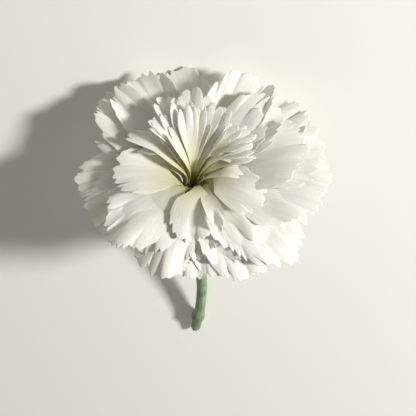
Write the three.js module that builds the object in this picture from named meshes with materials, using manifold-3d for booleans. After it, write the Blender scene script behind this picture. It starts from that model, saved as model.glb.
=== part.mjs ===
// A cut carnation lying on a table: a ruffled double flower of separate petals in five rings,
// their claws standing inside a tubular green calyx with four bracts, on a short length of stem.
// Millimetres, +Z up. The flower faces -Y, its stem points to +Y, and the origin is the middle
// of the model's footprint on the table.
import * as THREE from "three";
import { mergeVertices } from "three/addons/utils/BufferGeometryUtils.js";
import Module from "manifold-3d";

const wasm = await Module();
wasm.setup();

// ---- driving dimensions --------------------------------------------------------------------

const THROAT_RISE = 3.5; // the claws stand this far out of the calyx before they bend
const CALYX_LENGTH = 26; // base to rim
const CALYX_WALL = 0.8;
const CALYX_SLACK = 0.15; // extra play between the calyx and the outermost claws
const CALYX_TAPER = 0.6; // by which the tube narrows from the rim to the shoulder
const CALYX_FOOT = 1.5; // by which its foot stands out past the stem
const SHOULDER_HEIGHT = 4; // base to where the tube reaches its full width over the stem
const CALYX_TEETH = 5;
const TOOTH_LENGTH = 5.5;
const TOOTH_LEAN = 18; // degrees that a tooth opens outwards
const TOOTH_ROOT = 1.5; // how far a tooth runs down the wall below the rim
const TOOTH_THICKNESS = 0.64;
const TOOTH_SHARE = 0.92; // of the rim that the teeth take up
const TOOTH_TIP = 0.06; // width of the point as a share of the tooth's root

const STEM_RADIUS = 2.3;
const STEM_LENGTH = 62; // calyx base to the cut
const STEM_NODE_RADIUS = 3.1; // the swollen joint just above the cut
const STEM_NODE_FROM_CUT = 9;
const STEM_NODE_LENGTH = 2.6; // over which the joint swells and falls again
const STEM_FLARE = 1.25; // the stem's widening under the calyx, as a share of its radius
const STEM_FLARE_LENGTH = 3;
const STEM_BOW = 3.0; // sideways bow of the stem in the middle of its length
const CUT_SLANT = 35; // degrees of the slanting cut

const BRACTS = 4;
const BRACT_LENGTH = 10;
const BRACT_WIDTH = 6.4;
const BRACT_THICKNESS = 0.7;
const BRACT_STAND_OFF = 0.6; // between the calyx and a bract's inner face

const PETAL_THICKNESS = 0.45;
const CLAW_GAP = 0.9; // between neighbouring claws of a ring
const CLAW_TAPER = 0.1; // share by which the bundle of claws narrows to the foot of the calyx
const FLOWER_REACH = 47; // throat to the margin of a full guard petal
const CLEARANCE = 0.35; // kept between neighbouring pieces
const RING_PITCH = PETAL_THICKNESS + CLEARANCE + 0.05;
const OVERLAP_STEP = PETAL_THICKNESS + CLEARANCE + 0.15; // between petals that lie on each other
const BEND_LENGTH = 7; // over which a petal turns out of the calyx
const SPREAD_LENGTH = 15; // over which the narrow claw opens into the fan

const OVARY_RADIUS = 0.95;
const OVARY_LENGTH = 9;
const STYLE_RADIUS = 0.3;
const STYLE_LENGTH = 14;
const STYLE_SPREAD = 0.5; // distance of each style's tip from the axis

const THROAT_HEIGHT = 30; // height of the flower's throat above the table
const PRESS_DEPTH = 5; // petals this near the table bend along it
const LIE_HEIGHT = 0.6; // middle of a petal that lies on the table

const NOTCH = 0.07; // depth of the margin's teeth as a share of a petal's reach
const MARGIN_START = 0.55; // share of the reach from which a petal rolls back
const MARGIN_CURL = 22; // degrees that the margin rolls back
const WAVE_HEIGHT = 2.4; // slow waves that run through all tiers together
const WAVES = 3;

// ---- the petals ----------------------------------------------------------------------------
// Each tier is a ring of claws. Elevation is the angle of its limbs above the plane of the
// flower's face, given on four sides: the side at azimuth 0, the side held up by the table, the
// side at 180 and the side turned up. A petal is [azimuth, reach, half fan angle]: azimuth in
// degrees round the face (-90 is the side turned up), and reach as a share of FLOWER_REACH.
// Petals of one tier overlap like tiles, in LAYERS heights that follow each other round the tier
// from the height firstLayer.
const TIERS = [
  {
    name: "guard_petal", curlShare: 1.0, elevations: [-3, 25, -6, -31], lift: 0, sector: 360,
    columns: 6, firstLayer: 0,
    petals: [
      [-157, 0.89, 26], [-138, 0.9, 26], [-115, 0.86, 27], [-92, 0.88, 23], [-75, 0.86, 21],
      [-59, 0.92, 23], [-43, 0.98, 22], [-26, 1.03, 23], [-9, 1.1, 23], [9, 1.12, 24],
      [28, 1.08, 24], [52, 1.04, 26], [106, 1.02, 32], [148, 1.0, 24], [176, 0.95, 22],
    ],
  },
  {
    name: "outer_petal", curlShare: 0.88, elevations: [11, 36, 8, -19], lift: 1.2, sector: 360,
    columns: 6, firstLayer: 0,
    petals: [
      [-166, 0.77, 26], [-146, 0.74, 26], [-120, 0.8, 28], [-90, 0.76, 24], [-60, 0.8, 26],
      [-36, 0.94, 28], [-16, 1.0, 26], [6, 1.0, 26], [31, 0.95, 24], [84, 0.88, 22],
      [128, 0.98, 26], [161, 0.88, 10],
    ],
  },
  {
    name: "middle_petal", curlShare: 0.72, elevations: [25, 47, 22, -7], lift: 2.4, sector: 330,
    columns: 4, firstLayer: 0,
    petals: [
      [-178, 0.74, 26], [-135, 0.64, 28], [-92, 0.6, 22], [-68, 0.62, 12], [-50, 0.74, 20],
      [-28, 0.72, 22], [2, 0.8, 24], [30, 0.78, 22], [104, 0.66, 18],
    ],
  },
  {
    name: "inner_petal", curlShare: 0.65, elevations: [40, 59, 40, 16], lift: 3.6, sector: 280,
    columns: 4, firstLayer: 2,
    petals: [
      [-14, 0.54, 14], [1, 0.6, 14], [18, 0.64, 14], [38, 0.68, 13], [62, 0.74, 13],
      [88, 0.78, 12], [112, 0.78, 12], [136, 0.72, 12], [157, 0.7, 11],
    ],
  },
  {
    name: "heart_petal", curlShare: 0.55, elevations: [56, 73, 60, 36], lift: 4.8, sector: 280,
    columns: 4, firstLayer: 1,
    petals: [
      [18, 0.48, 14], [46, 0.62, 14], [72, 0.7, 13], [96, 0.74, 13], [120, 0.68, 12],
      [143, 0.6, 12],
    ],
  },
];

// The claws stand in rings round the pistil, and the calyx closes round the outermost ring.
const coreRadius = (OVARY_RADIUS + 2 * CLEARANCE) / (1 - CLAW_TAPER);
const ringRadiusOf = (tier) =>
  coreRadius + PETAL_THICKNESS / 2 + (TIERS.length - 1 - tier) * RING_PITCH;
const calyxInside = ringRadiusOf(0) + PETAL_THICKNESS / 2 + CLEARANCE + CALYX_SLACK;
const calyxRadius = calyxInside + CALYX_WALL;
const shoulderRadius = calyxRadius - CALYX_TAPER;
const footRadius = STEM_RADIUS + CALYX_FOOT;

// ---- small helpers -------------------------------------------------------------------------

const radians = THREE.MathUtils.degToRad;
const smooth = (x) => THREE.MathUtils.smoothstep(x, 0, 1);

const material = (color, roughness) =>
  new THREE.MeshStandardMaterial({ color, roughness, metalness: 0 });
const PETAL_WHITE = material(0xf2efe4, 0.6);
const CALYX_GREEN = material(0x8fa872, 0.55);
const STEM_GREEN = material(0x7f9a68, 0.6);
const PISTIL_CREAM = material(0xe6e4c4, 0.5);

function toSolid(geometry) {
  const plain = geometry.clone();
  plain.deleteAttribute("normal");
  plain.deleteAttribute("uv");
  const merged = mergeVertices(plain, 1e-4);
  return new wasm.Manifold(
    new wasm.Mesh({
      numProp: 3,
      vertProperties: merged.attributes.position.array,
      triVerts: new Uint32Array(merged.index.array),
    }),
  );
}

function toGeometry(solid) {
  const mesh = solid.getMesh();
  const positions = new Float32Array(mesh.numVert * 3);
  for (let i = 0; i < mesh.numVert; i++) {
    const from = i * mesh.numProp;
    positions.set(mesh.vertProperties.subarray(from, from + 3), i * 3);
  }
  const geometry = new THREE.BufferGeometry();
  geometry.setAttribute("position", new THREE.BufferAttribute(positions, 3));
  geometry.setIndex(new THREE.BufferAttribute(new Uint32Array(mesh.triVerts), 1));
  geometry.computeVertexNormals();
  return geometry;
}

function largestPiece(solid) {
  const pieces = solid.decompose();
  return pieces.reduce((a, b) => (b.volume() > a.volume() ? b : a));
}

// A closed sheet of the given thickness around a grid of points, rows running up the petal.
function sheetGeometry(rows, thickness) {
  const rowCount = rows.length;
  const columnCount = rows[0].length;
  const at = (i, j) =>
    rows[Math.min(Math.max(i, 0), rowCount - 1)][Math.min(Math.max(j, 0), columnCount - 1)];
  const positions = [];
  for (const side of [1, -1]) {
    for (let i = 0; i < rowCount; i++) {
      for (let j = 0; j < columnCount; j++) {
        const along = at(i + 1, j).clone().sub(at(i - 1, j));
        const across = at(i, j + 1).clone().sub(at(i, j - 1));
        const normal = across.cross(along).normalize();
        const p = at(i, j).clone().addScaledVector(normal, (side * thickness) / 2);
        positions.push(p.x, p.y, p.z);
      }
    }
  }
  const index = [];
  const vertex = (side, i, j) => side * rowCount * columnCount + i * columnCount + j;
  const quad = (a, b, c, d) => index.push(a, b, c, a, c, d);
  for (let i = 0; i + 1 < rowCount; i++) {
    for (let j = 0; j + 1 < columnCount; j++) {
      quad(vertex(0, i, j), vertex(0, i, j + 1), vertex(0, i + 1, j + 1), vertex(0, i + 1, j));
      quad(vertex(1, i, j), vertex(1, i + 1, j), vertex(1, i + 1, j + 1), vertex(1, i, j + 1));
    }
  }
  const rim = [];
  for (let j = 0; j + 1 < columnCount; j++) rim.push([0, j]);
  for (let i = 0; i + 1 < rowCount; i++) rim.push([i, columnCount - 1]);
  for (let j = columnCount - 1; j > 0; j--) rim.push([rowCount - 1, j]);
  for (let i = rowCount - 1; i > 0; i--) rim.push([i, 0]);
  rim.forEach(([i, j], k) => {
    const [ni, nj] = rim[(k + 1) % rim.length];
    quad(vertex(0, i, j), vertex(1, i, j), vertex(1, ni, nj), vertex(0, ni, nj));
  });
  const geometry = new THREE.BufferGeometry();
  geometry.setAttribute("position", new THREE.Float32BufferAttribute(positions, 3));
  geometry.setIndex(index);
  return geometry;
}

// The same grid, carried on by a margin past its side and end edges.
function widened(rows, by) {
  const pushed = (edge, inside) =>
    edge.clone().addScaledVector(edge.clone().sub(inside).normalize(), by);
  const wide = rows.map((row) => [
    pushed(row[0], row[1]),
    ...row.slice(1, -1),
    pushed(row[row.length - 1], row[row.length - 2]),
  ]);
  const last = wide.length - 1;
  const ends = [
    wide[0].map((p, j) => pushed(p, wide[1][j])),
    wide[last].map((p, j) => pushed(p, wide[last - 1][j])),
  ];
  return [ends[0], ...wide.slice(1, -1), ends[1]];
}

// ---- how the flower lies -------------------------------------------------------------------
// The flower's own frame has the throat at its origin and +Z out of its face. It is tipped over
// until the stem's cut end rests on the table.
const stemReach = THROAT_RISE + CALYX_LENGTH + STEM_LENGTH;
const LEAN = Math.asin((THROAT_HEIGHT - STEM_RADIUS) / stemReach); // face above the horizontal
const TIP = Math.PI / 2 - LEAN; // turn about +X that lays the axis down towards -Y
// It is also turned half round its own axis, so that azimuth +90 is the side on the table.
const tableDown = new THREE.Vector3(0, Math.sin(TIP), -Math.cos(TIP));

// Bends whatever would pass below the table so that it lies along it.
function pressOnTable(p) {
  const height = THROAT_HEIGHT - p.dot(tableDown);
  if (height >= PRESS_DEPTH) return p;
  const room = PRESS_DEPTH - LIE_HEIGHT;
  const pressed = LIE_HEIGHT + room * Math.exp((height - PRESS_DEPTH) / room);
  return p.addScaledVector(tableDown, height - pressed);
}

// ---- petals --------------------------------------------------------------------------------

const LIMB_ROWS = [0, 0.1, 0.22, 0.38, 0.56, 0.74, 0.9, 1]; // shares of the reach
const FAN_START = 2; // arc length at which a claw starts to open into its fan
const LAYERS = 3;
const RAISE_LENGTH = 11; // over which a petal rises to the height of its layer
const TILE_SHARE = 0.95; // of the room between a petal and the next one in its own layer

// Angle of a tier's limbs above the face plane, in the direction of an azimuth in radians.
function elevationOf(tier, azimuth) {
  const [right, back, left, front] = TIERS[tier].elevations;
  const along = Math.cos(azimuth) ** 2;
  return (Math.cos(azimuth) > 0 ? right : left) * along +
    (Math.sin(azimuth) > 0 ? back : front) * (1 - along);
}

// Distance from the axis and height above the throat at arc length s up a petal. A petal that
// lies over its neighbours is raised along its own normal.
function profile(ringRadius, lift, elevation, curlReach, raise, s) {
  if (s <= 0) return { r: ringRadius * (1 + (CLAW_TAPER * s) / CALYX_LENGTH), z: lift + s };
  const steps = Math.max(2, Math.ceil(s));
  let r = ringRadius;
  let z = lift;
  let angle = Math.PI / 2;
  for (let k = 0; k < steps; k++) {
    const at = ((k + 0.5) * s) / steps;
    const turn = Math.exp(-((at / BEND_LENGTH) ** 1.6));
    const curl = MARGIN_CURL * smooth((at / curlReach - MARGIN_START) / (1 - MARGIN_START));
    angle = radians(elevation + (90 - elevation) * turn - curl);
    r += (Math.cos(angle) * s) / steps;
    z += (Math.sin(angle) * s) / steps;
  }
  const over = raise * smooth(s / RAISE_LENGTH);
  return { r: r - over * Math.sin(angle), z: z + over * Math.cos(angle) };
}

function petalRows(tier, petal, slotAzimuth, layer) {
  const { lift, columns, sector, petals } = TIERS[tier];
  const [azimuth, share, fan] = petal;
  const ringRadius = ringRadiusOf(tier);
  const pitch = radians(sector / petals.length);
  const clawWidth = pitch * ringRadius - CLAW_GAP;
  const reach = share * FLOWER_REACH;
  const raise = layer * OVERLAP_STEP;
  const swing = azimuth - slotAzimuth;
  const curlReach = FLOWER_REACH * TIERS[tier].curlShare;
  const widest = (LAYERS / 2) * pitch * TILE_SHARE;
  const point = (s, q, margin) => {
    const turned = radians(slotAzimuth + swing * smooth(s / SPREAD_LENGTH));
    const middle = profile(ringRadius, lift, elevationOf(tier, turned), curlReach, raise, s);
    const spread = THREE.MathUtils.clamp(q / Math.max(middle.r, ringRadius), -widest, widest);
    const angle = turned + spread;
    const { r, z } = profile(ringRadius, lift, elevationOf(tier, angle), curlReach, raise, s);
    const wave = WAVE_HEIGHT * (r / FLOWER_REACH) ** 1.5 * Math.sin(WAVES * angle + 0.6) * margin;
    return pressOnTable(
      new THREE.Vector3(r * Math.cos(angle), r * Math.sin(angle), z + wave),
    );
  };
  const rows = [];
  // Claws of the inner tiers start a little higher in the calyx.
  const clawBottom = SHOULDER_HEIGHT - THROAT_RISE - CALYX_LENGTH + CLEARANCE + tier - lift;
  const clawRow = [];
  for (let j = 0; j <= columns; j++) {
    clawRow.push(point(clawBottom, (j / columns - 0.5) * clawWidth, 0));
  }
  rows.push(clawRow);
  LIMB_ROWS.forEach((v, i) => {
    const row = [];
    for (let j = 0; j <= columns; j++) {
      const t = (2 * j) / columns - 1;
      const isMargin = i === LIMB_ROWS.length - 1;
      const tooth = isMargin && j % 2 === 0 ? 1 - NOTCH : 1;
      const rho = v * reach * tooth;
      const opened = radians(fan) * smooth((rho - FAN_START) / SPREAD_LENGTH) * t;
      row.push(point(rho * Math.cos(opened), rho * Math.sin(opened) + (t * clawWidth) / 2, 1));
    }
    rows.push(row);
  });
  return rows;
}

// Claws stand evenly round their ring, in the order of their petals' azimuths.
function slotAzimuths(tier) {
  const { petals, sector } = TIERS[tier];
  const count = petals.length;
  const pitch = sector / count;
  const centre = petals.reduce((sum, p) => sum + p[0], 0) / count;
  return petals.map((_, k) => centre + (k - (count - 1) / 2) * pitch);
}

const petalPieces = [];
TIERS.forEach((tier, t) => {
  const slots = slotAzimuths(t);
  tier.petals.forEach((petal, k) => {
    petalPieces.push({
      name: `${tier.name}_${String(k + 1).padStart(2, "0")}`,
      rows: petalRows(t, petal, slots[k], (tier.firstLayer + k) % LAYERS),
    });
  });
});

// ---- calyx, bracts, stem and pistil ---------------------------------------------------------

const CALYX_RIM = -THROAT_RISE;
const CALYX_BASE = CALYX_RIM - CALYX_LENGTH;
const SHOULDER = CALYX_BASE + SHOULDER_HEIGHT;
const FLOOR = SHOULDER - 1; // inside, under the claws and the pistil

function calyxSolid() {
  const outerPoints = [
    [0, CALYX_BASE],
    [footRadius, CALYX_BASE],
    [shoulderRadius, SHOULDER],
    [calyxRadius, CALYX_BASE + CALYX_LENGTH * 0.5],
    [calyxRadius, CALYX_RIM],
  ];
  const innerPoints = [
    [calyxInside, CALYX_RIM],
    [calyxInside, CALYX_BASE + CALYX_LENGTH * 0.5],
    [shoulderRadius - CALYX_WALL, SHOULDER],
    [shoulderRadius - CALYX_WALL - 0.2, FLOOR],
    [0, FLOOR],
  ];
  const points = [...outerPoints, ...innerPoints].map(([r, z]) => new THREE.Vector2(r, z));
  const tube = new THREE.LatheGeometry(points, 6 * CALYX_TEETH).rotateX(Math.PI / 2);
  let calyx = toSolid(tube);
  for (let k = 0; k < CALYX_TEETH; k++) {
    calyx = calyx.add(toSolid(toothGeometry((k * 360) / CALYX_TEETH)));
  }
  return calyx;
}

// A pointed tooth of the calyx rim, rooted a little way down the wall.
function toothGeometry(azimuth) {
  const halfSector = radians(TOOTH_SHARE * 180 / CALYX_TEETH);
  const wallRadius = calyxRadius - CALYX_WALL / 2;
  const lean = radians(TOOTH_LEAN);
  const rows = [-TOOTH_ROOT / TOOTH_LENGTH, 0, 0.5, 0.85, 1].map((v) => {
    const open = Math.max(0, v);
    const r = wallRadius + open * TOOTH_LENGTH * Math.sin(lean);
    const z = CALYX_RIM + v * TOOTH_LENGTH * (v > 0 ? Math.cos(lean) : 1);
    const half = halfSector * (1 - (1 - TOOTH_TIP) * open);
    return [-1, -0.5, 0, 0.5, 1].map((t) => {
      const angle = radians(azimuth) + half * t;
      return new THREE.Vector3(r * Math.cos(angle), r * Math.sin(angle), z);
    });
  });
  return sheetGeometry(rows, TOOTH_THICKNESS);
}

// A short broad bract that hugs the foot of the calyx and ends in a point.
function bractGeometry(azimuth) {
  const foot = CALYX_BASE - 0.4;
  const calyxRadiusAt = (z) => {
    const rise = THREE.MathUtils.clamp((z - CALYX_BASE) / (SHOULDER - CALYX_BASE), 0, 1);
    const bodyLength = CALYX_LENGTH * 0.5 - SHOULDER_HEIGHT;
    const body = THREE.MathUtils.clamp((z - SHOULDER) / bodyLength, 0, 1);
    return footRadius + (shoulderRadius - footRadius) * rise + CALYX_TAPER * body;
  };
  const standOff = BRACT_THICKNESS / 2 + BRACT_STAND_OFF;
  const rows = [0, 0.2, 0.4, 0.62, 0.82, 1].map((v) => {
    const z = foot + v * BRACT_LENGTH;
    const r = calyxRadiusAt(z) + standOff;
    const half = (BRACT_WIDTH / 2) * Math.sqrt(Math.max(0.01, 1 - v ** 2.4));
    return [-1, -0.5, 0, 0.5, 1].map((t) => {
      const angle = radians(azimuth) + (half * t) / r;
      return new THREE.Vector3(r * Math.cos(angle), r * Math.sin(angle), z);
    });
  });
  return sheetGeometry(rows, BRACT_THICKNESS);
}

function stemGeometry() {
  const top = CALYX_BASE - CLEARANCE;
  const cut = CALYX_BASE - STEM_LENGTH;
  const length = top - cut;
  const points = [new THREE.Vector2(0, top)];
  const steps = 14;
  for (let k = 0; k <= steps; k++) {
    const z = top - (k / steps) * length;
    const flare = (STEM_FLARE - 1) * Math.exp(-(top - z) / STEM_FLARE_LENGTH);
    const node = Math.exp(-(((z - cut - STEM_NODE_FROM_CUT) / STEM_NODE_LENGTH) ** 2));
    const r = STEM_RADIUS * (1 + flare) + (STEM_NODE_RADIUS - STEM_RADIUS) * node;
    points.push(new THREE.Vector2(r, z));
  }
  points.push(new THREE.Vector2(0, cut));
  const stem = new THREE.LatheGeometry(points.reverse(), 16).rotateX(Math.PI / 2);
  const place = stem.attributes.position;
  for (let i = 0; i < place.count; i++) {
    const share = (top - place.getZ(i)) / length;
    place.setX(i, place.getX(i) + STEM_BOW * Math.sin(Math.PI * share));
  }
  const slant = radians(CUT_SLANT);
  const cutter = new THREE.BoxGeometry(30, 30, 30).translate(0, 0, -15);
  cutter.rotateX(slant).translate(0, 0, cut + STEM_RADIUS * Math.tan(slant));
  return toGeometry(toSolid(stem).subtract(toSolid(cutter)));
}

function pistilGeometry() {
  const foot = FLOOR + CLEARANCE;
  const ovary = [
    [0, foot],
    [OVARY_RADIUS * 0.6, foot],
    [OVARY_RADIUS, foot + OVARY_LENGTH * 0.45],
    [OVARY_RADIUS * 0.5, foot + OVARY_LENGTH],
    [0, foot + OVARY_LENGTH],
  ].map(([r, z]) => new THREE.Vector2(r, z));
  let pistil = toSolid(new THREE.LatheGeometry(ovary, 10).rotateX(Math.PI / 2));
  for (const side of [-1, 1]) {
    const section = new THREE.Shape().absarc(0, 0, STYLE_RADIUS, 0, 2 * Math.PI);
    const path = new THREE.CatmullRomCurve3([
      new THREE.Vector3(side * STYLE_SPREAD * 0.4, 0, foot + OVARY_LENGTH - 1),
      new THREE.Vector3(side * STYLE_SPREAD * 0.8, 0, foot + OVARY_LENGTH + STYLE_LENGTH * 0.5),
      new THREE.Vector3(side * STYLE_SPREAD, 0, foot + OVARY_LENGTH + STYLE_LENGTH),
    ]);
    const style = new THREE.ExtrudeGeometry(section, {
      curveSegments: 3, steps: 6, extrudePath: path,
    });
    pistil = pistil.add(toSolid(style));
  }
  return toGeometry(pistil);
}

// ---- assembly ------------------------------------------------------------------------------

const flower = new THREE.Group();
const LEAST_OVERLAP = 0.001; // cubic millimetres that count as running into a neighbour
const placed = []; // the solid and the keep-out space of each piece already in place

function addMesh(name, geometry, finish) {
  const mesh = new THREE.Mesh(geometry, finish);
  mesh.name = name;
  flower.add(mesh);
}

addMesh("stem", stemGeometry(), STEM_GREEN);
const calyx = calyxSolid();
addMesh("calyx", toGeometry(calyx), CALYX_GREEN);
placed.push({ name: "calyx", keepOut: calyx, solid: calyx });
for (let k = 0; k < BRACTS; k++) {
  const azimuth = 45 + (k * 360) / BRACTS;
  addMesh(`bract_${k + 1}`, toGeometry(toSolid(bractGeometry(azimuth))), CALYX_GREEN);
}
addMesh("pistil", pistilGeometry(), PISTIL_CREAM);

// A petal that would run into one already in place is trimmed back from it by the clearance.
for (const { name, rows } of petalPieces) {
  let solid = toSolid(sheetGeometry(rows, PETAL_THICKNESS));
  for (const other of placed) {
    if (solid.intersect(other.solid).volume() > LEAST_OVERLAP) {
      solid = largestPiece(solid.subtract(other.keepOut));
    }
  }
  placed.push({
    name,
    solid,
    keepOut: toSolid(sheetGeometry(widened(rows, CLEARANCE), PETAL_THICKNESS + 2 * CLEARANCE)),
  });
  addMesh(name, toGeometry(solid), PETAL_WHITE);
}

flower.rotation.set(TIP, 0, Math.PI);
const carnation = new THREE.Group();
carnation.add(flower);
carnation.updateMatrixWorld(true);
const footprint = new THREE.Box3().setFromObject(carnation, true);
flower.position.set(
  -(footprint.min.x + footprint.max.x) / 2,
  -(footprint.min.y + footprint.max.y) / 2,
  -footprint.min.z,
);

export default carnation;
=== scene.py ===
# %% [markdown]
# # A cut carnation
#
# A double carnation is a bundle of separate petals. Each has a narrow claw, which stands inside
# a green tube, the calyx, and a broad blade that turns out over the calyx rim and ends in a
# toothed margin. The blades lie over each other in rings, flattest outside, steepest inside.
# The cut flower lies on a table, held up by the petals under it and by the end of its stem.

# %% Load the frame
import math

import bpy
import numpy as np
from mathutils import Matrix, Vector


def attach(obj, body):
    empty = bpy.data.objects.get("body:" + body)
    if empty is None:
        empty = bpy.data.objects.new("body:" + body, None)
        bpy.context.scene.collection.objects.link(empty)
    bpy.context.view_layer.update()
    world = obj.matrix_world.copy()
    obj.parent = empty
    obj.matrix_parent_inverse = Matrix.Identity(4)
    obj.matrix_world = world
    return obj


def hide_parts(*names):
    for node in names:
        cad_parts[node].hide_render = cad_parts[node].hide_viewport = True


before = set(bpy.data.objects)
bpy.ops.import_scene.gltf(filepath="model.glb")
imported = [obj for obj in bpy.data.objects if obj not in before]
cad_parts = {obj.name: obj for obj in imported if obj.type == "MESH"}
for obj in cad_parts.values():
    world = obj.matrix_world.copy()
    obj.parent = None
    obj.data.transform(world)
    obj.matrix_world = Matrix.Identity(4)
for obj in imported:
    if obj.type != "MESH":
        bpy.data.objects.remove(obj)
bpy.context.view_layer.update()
print("CAD model:", len(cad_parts), "nodes")

# %% [markdown]
# ## The flower's own frame
#
# Everything grows round the flower's axis, so it is easiest to build it upright: the throat at
# the origin, +Z out of its face, and an azimuth round that axis. One rotation and one shift then
# lay it down. The rotation follows from how high the throat stands above the table and how far
# the stem reaches. The shift is measured on the calyx of the frame.

# %% Sizes in millimetres
MM = 0.001  # metres
THROAT_HEIGHT = 30.0  # above the table, before the model is set down on its lowest point
THROAT_RISE = 3.5  # the claws stand this far out of the calyx before they bend
CALYX_LENGTH = 26.0
STEM_LENGTH = 62.0
STEM_RADIUS = 2.3
FLOWER_REACH = 47.0  # throat to the margin of a full outer petal

stem_reach = THROAT_RISE + CALYX_LENGTH + STEM_LENGTH
lean = math.asin((THROAT_HEIGHT - STEM_RADIUS) / stem_reach)
tip = math.pi / 2 - lean
turn_over = np.array([
    [-1, 0, 0],
    [0, -math.cos(tip), -math.sin(tip)],
    [0, -math.sin(tip), math.cos(tip)],
])  # half a turn round its own axis, then tipped over towards -Y
print("the flower's face looks", round(math.degrees(lean), 2), "degrees above the horizontal")

# %% Find the throat on the frame's calyx
def node_points(name):
    """Corners of a CAD node, in metres."""
    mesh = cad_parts[name].data
    flat = np.empty(len(mesh.vertices) * 3)
    mesh.vertices.foreach_get("co", flat)
    return flat.reshape(-1, 3)


upright = node_points("calyx") @ turn_over  # the same points before the flower is laid down
FOOT_DEPTH = 0.1 * MM  # corners this near the lowest one belong to the calyx's foot
foot = upright[:, 2].min()
foot_ring = upright[upright[:, 2] < foot + FOOT_DEPTH]
base_centre = (foot_ring.min(axis=0) + foot_ring.max(axis=0)) / 2
throat = turn_over @ (base_centre + np.array([0, 0, (THROAT_RISE + CALYX_LENGTH) * MM]))
table_down = turn_over.T @ np.array([0, 0, -1.0])
print("throat at", throat.round(4))


def lay_down(points):
    """Points of the upright flower in millimetres, as places in the scene in metres."""
    return points @ turn_over.T * MM + throat

# %% [markdown]
# ## The blade of a petal
#
# A petal is a thin sheet that could be modelled by hand, with a cloth simulation, or with a
# formula. A formula suits it: all the petals follow one rule with different numbers. Going up a
# petal the sheet first stands in the calyx, then bends over, then rolls at its margin. That
# middle line is worked out once for a range of slopes, and every point of the blade reads it.

# %% Curves shared by all petals
BEND_LENGTH = 7.0  # over which a petal turns out of the calyx
BEND_SHARPNESS = 1.6  # higher turns it in a shorter stretch
SLOPES = np.arange(-75.0, 106.0, 3.0)  # degrees of a blade above the face of the flower
ARC = np.linspace(0.0, 66.0, 265)  # millimetres up a petal


def smooth(x):
    """Rises from 0 to 1 as x does, with no corner at either end."""
    x = np.clip(x, 0.0, 1.0)
    return x * x * (3 - 2 * x)


def rising_from(start, x):
    """Rises smoothly from 0 at start to 1 at 1."""
    return smooth((x - start) / (1 - start))


def middle_lines(ring, lift, reach, curl, curl_from, bend):
    """Radius, height and angle along a petal's middle line, for every slope in SLOPES."""
    step = ARC[1] - ARC[0]
    at = ARC + step / 2
    turn = np.exp(-((at / bend) ** BEND_SHARPNESS))
    roll = curl * rising_from(curl_from, at / reach)
    angle = np.radians(SLOPES[:, None] + (90 - SLOPES[:, None]) * turn - roll)
    start = np.zeros((len(SLOPES), 1))
    radius = ring + np.hstack([start, np.cumsum(np.cos(angle), axis=1)[:, :-1] * step])
    height = lift + np.hstack([start, np.cumsum(np.sin(angle), axis=1)[:, :-1] * step])
    return radius, height, angle


def read_line(table, slope, arc):
    """Reads one table of middle_lines between its slopes and arc lengths."""
    i = np.clip((slope - SLOPES[0]) / (SLOPES[1] - SLOPES[0]), 0, len(SLOPES) - 1.001)
    j = np.clip(arc / (ARC[1] - ARC[0]), 0, len(ARC) - 1.001)
    i0, j0 = i.astype(int), j.astype(int)
    a, b = i - i0, j - j0
    low = table[i0, j0] * (1 - b) + table[i0, j0 + 1] * b
    high = table[i0 + 1, j0] * (1 - b) + table[i0 + 1, j0 + 1] * b
    return low * (1 - a) + high * a


print("middle lines for", len(SLOPES), "slopes, read every", ARC[1] - ARC[0], "mm")

# %% [markdown]
# ## Slopes and slow waves of the whole head
#
# The petals press on each other, so they share their large shapes. The side turned up falls open
# and the side on the table is held up. A slow wave runs round the head through every ring, so
# that petals that lie on each other bend together. Towards the table everything flattens on it.

# %% Shared shapes of the head
TILE_ORDERS = 3  # petals of a ring overlap like tiles, and each third lies lowest
PETAL_THICKNESS = 0.26
CAD_THICKNESS = 0.45
CLEARANCE = 0.35
RING_PITCH = CAD_THICKNESS + CLEARANCE + 0.05  # the last term is play
CORE_RADIUS = 1.83  # clear space round the pistil
TURN_SHARPNESS = 1.25  # higher keeps more of the sides of the head level
WAVE_HEIGHT, WAVES, WAVE_START = 2.0, 3, 0.6  # the start is an angle in radians
PRESS_DEPTH = 5.0  # petals this near the table bend along it
LIE_HEIGHT = 0.15  # middle of a petal that lies on the table
# ring: rows of claws inside it; lift: how much higher it starts; sector: degrees that its claws
# fill; turn: degrees that blades on the table side lean further in than those at the sides
RINGS = {
    "guard_petal": dict(ring=4, lift=0.0, sector=360, turn=27),
    "outer_petal": dict(ring=3, lift=1.2, sector=360, turn=27),
    "middle_petal": dict(ring=2, lift=2.4, sector=330, turn=25),
    "inner_petal": dict(ring=1, lift=3.6, sector=280, turn=15),
    "heart_petal": dict(ring=0, lift=4.8, sector=280, turn=5),
}


def lean_in(ring, azimuth):
    """How many degrees steeper a ring's blades stand at an azimuth than at its sides."""
    side = np.sin(azimuth)
    return ring["turn"] * np.sign(side) * np.abs(side) ** TURN_SHARPNESS


def shared_wave(radius, azimuth):
    """Height in millimetres of the slow wave that runs through every ring."""
    grown = (radius / FLOWER_REACH) ** 1.5
    return WAVE_HEIGHT * grown * np.sin(WAVES * azimuth + WAVE_START)


def press_on_table(points):
    """Bends whatever would pass below the table so that it lies along it."""
    height = throat[2] / MM - points @ table_down
    room = PRESS_DEPTH - LIE_HEIGHT
    pressed = LIE_HEIGHT + room * np.exp(np.minimum(height - PRESS_DEPTH, 0) / room)
    rise = np.where(height < PRESS_DEPTH, pressed - height, 0)
    return points - rise[..., None] * table_down


print("the throat stands", round(throat[2] / MM, 2), "mm above the table")

# %% [markdown]
# ## The toothed margin
#
# A carnation's margin is cut into a few broad lobes, each with small pointed teeth, and now and
# then a slit runs further in. It could be cut out of the sheet with a boolean, but here the rows
# of the sheet simply end where the margin is, so the mesh keeps its even grid.

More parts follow.
